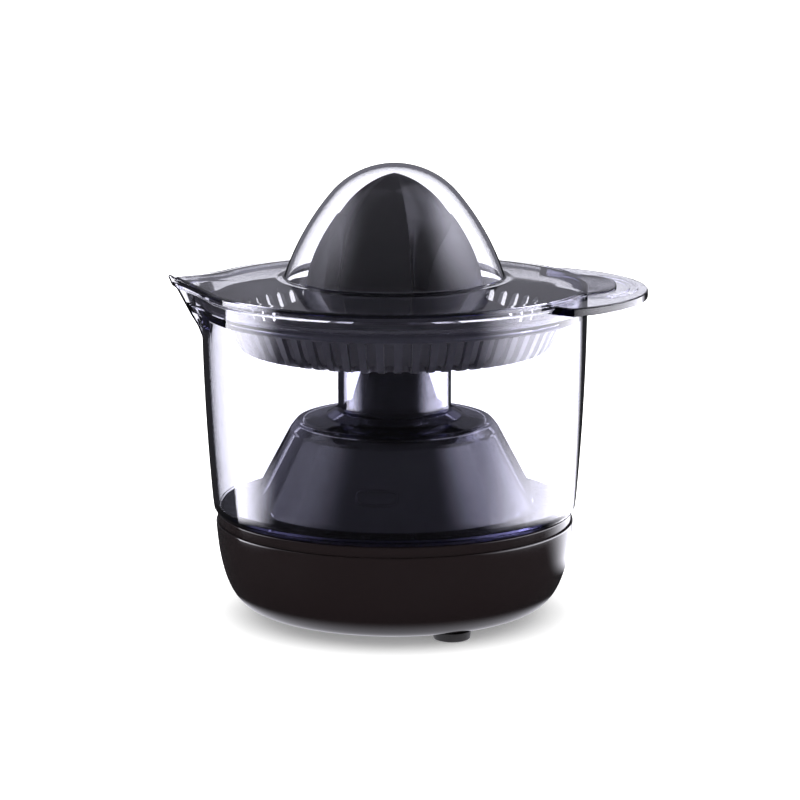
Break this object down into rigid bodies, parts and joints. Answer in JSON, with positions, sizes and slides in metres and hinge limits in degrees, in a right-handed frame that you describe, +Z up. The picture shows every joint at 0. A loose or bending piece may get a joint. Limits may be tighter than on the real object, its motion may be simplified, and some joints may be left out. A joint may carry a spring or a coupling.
{
  "type": "citrus press juicer",
  "caption": "Electric citrus press: a geared motor base, a clear jug with spout and handle tab, a slotted strainer, a ribbed reamer and a clear domed cover.",
  "frame": {"origin": "on the machine's vertical axis, in the plane that the three feet stand on", "axes": "+Z up along the drive axis, +X towards the jug's handle tab, -X towards its spout, +Y to the rear where the mains lead enters"},
  "size_m": [0.1879, 0.153, 0.1783],
  "materials": {
    "casing_black": "glossy moulded",
    "feet_rubber": "moulded matt",
    "screw_steel": "zinc plated",
    "lamination_steel": "stamped laminations",
    "copper": "enamelled copper",
    "nylon_white": "moulded natural",
    "bush_bronze": "sintered bronze",
    "shaft_steel": "ground",
    "plate_zinc": "die cast",
    "spring_steel": "drawn and tempered",
    "drive_black": "moulded",
    "switch_black": "moulded",
    "wire_red": "insulated wire",
    "jug_clear": "clear moulded, polished",
    "strainer_black": "moulded",
    "reamer_black": "glossy moulded",
    "cover_clear": "clear moulded, polished"
  },
  "bodies": {
    "base": {"base_casing": "casing_black", "tower_cover": "casing_black", "foot_1": "feet_rubber", "foot_2": "feet_rubber", "foot_3": "feet_rubber", "casing_screws": "screw_steel", "cord_inlet": "feet_rubber", "stator_core": "lamination_steel", "shading_rings": "copper", "coil_bobbin": "nylon_white", "coil_winding": "copper", "stator_screws": "screw_steel", "motor_bushes": "bush_bronze", "gear_plate": "plate_zinc", "gear_plate_screws": "screw_steel", "idler_axle": "shaft_steel", "axle_clip": "spring_steel", "lower_bush": "bush_bronze", "upper_bush": "bush_bronze", "shaft_seal": "feet_rubber", "switch_body": "switch_black", "lever_pin": "shaft_steel", "switch_screws": "screw_steel", "terminal_block": "nylon_white", "terminal_screws": "screw_steel", "lead_wires": "wire_red"},
    "rotor": {"motor_rotor": "lamination_steel", "motor_shaft": "shaft_steel", "rotor_pinion": "bush_bronze"},
    "idler": {"idler_gear": "nylon_white"},
    "output": {"output_gear": "nylon_white"},
    "drive": {"drive_shaft": "shaft_steel", "drive_cone": "drive_black", "return_spring": "spring_steel"},
    "lever": {"switch_lever": "spring_steel"},
    "plunger": {"switch_plunger": "nylon_white"},
    "jug": {"jug": "jug_clear"},
    "strainer": {"filter": "strainer_black"},
    "reamer": {"reamer": "reamer_black"},
    "cover": {"lid": "cover_clear"}
  },
  "joints": [
    {"name": "output_spin", "type": "hinge", "parent": "base", "child": "output", "pos_m": [0, 0, 0.032], "axis": [0, 0, 1], "continuous": true},
    {"name": "idler_spin", "type": "hinge", "parent": "base", "child": "idler", "pos_m": [-0.02737, -0.01228, 0.04], "axis": [0, 0, 1], "continuous": true},
    {"name": "rotor_spin", "type": "hinge", "parent": "base", "child": "rotor", "pos_m": [-0.012, -0.032, 0.02], "axis": [0, 0, 1], "continuous": true},
    {"name": "drive_press", "type": "slide", "parent": "output", "child": "drive", "axis": [0, 0, 1], "range_m": [-0.001, 0], "stiffness_N_per_m": 1000, "springref_m": 0.002, "deforming": ["return_spring"]},
    {"name": "lever_tilt", "type": "hinge", "parent": "base", "child": "lever", "pos_m": [0.021, 0, 0.02765], "axis": [0, 1, 0], "range_deg": [-3, 0]},
    {"name": "plunger_press", "type": "slide", "parent": "base", "child": "plunger", "axis": [0, 0, 1], "range_m": [-0.0005, 0]},
    {"name": "jug_lift", "type": "slide", "parent": "base", "child": "jug", "axis": [0, 0, 1], "range_m": [0, 0.1]},
    {"name": "strainer_lift", "type": "slide", "parent": "jug", "child": "strainer", "axis": [0, 0, 1], "range_m": [0, 0.06]},
    {"name": "reamer_spin", "type": "hinge", "parent": "strainer", "child": "reamer", "pos_m": [0, 0, 0.131], "axis": [0, 0, 1], "continuous": true},
    {"name": "cover_lift", "type": "slide", "parent": "strainer", "child": "cover", "axis": [0, 0, 1], "range_m": [0, 0.06]}
  ],
  "couplings": [
    {"joint": "output_spin", "follows": "rotor_spin", "ratio": 0.05},
    {"joint": "idler_spin", "follows": "rotor_spin", "ratio": -0.25},
    {"joint": "reamer_spin", "follows": "rotor_spin", "ratio": 0.05},
    {"joint": "lever_tilt", "follows": "drive_press", "rad_per_m": 47.619},
    {"joint": "plunger_press", "follows": "drive_press", "ratio": 0.381}
  ]
}
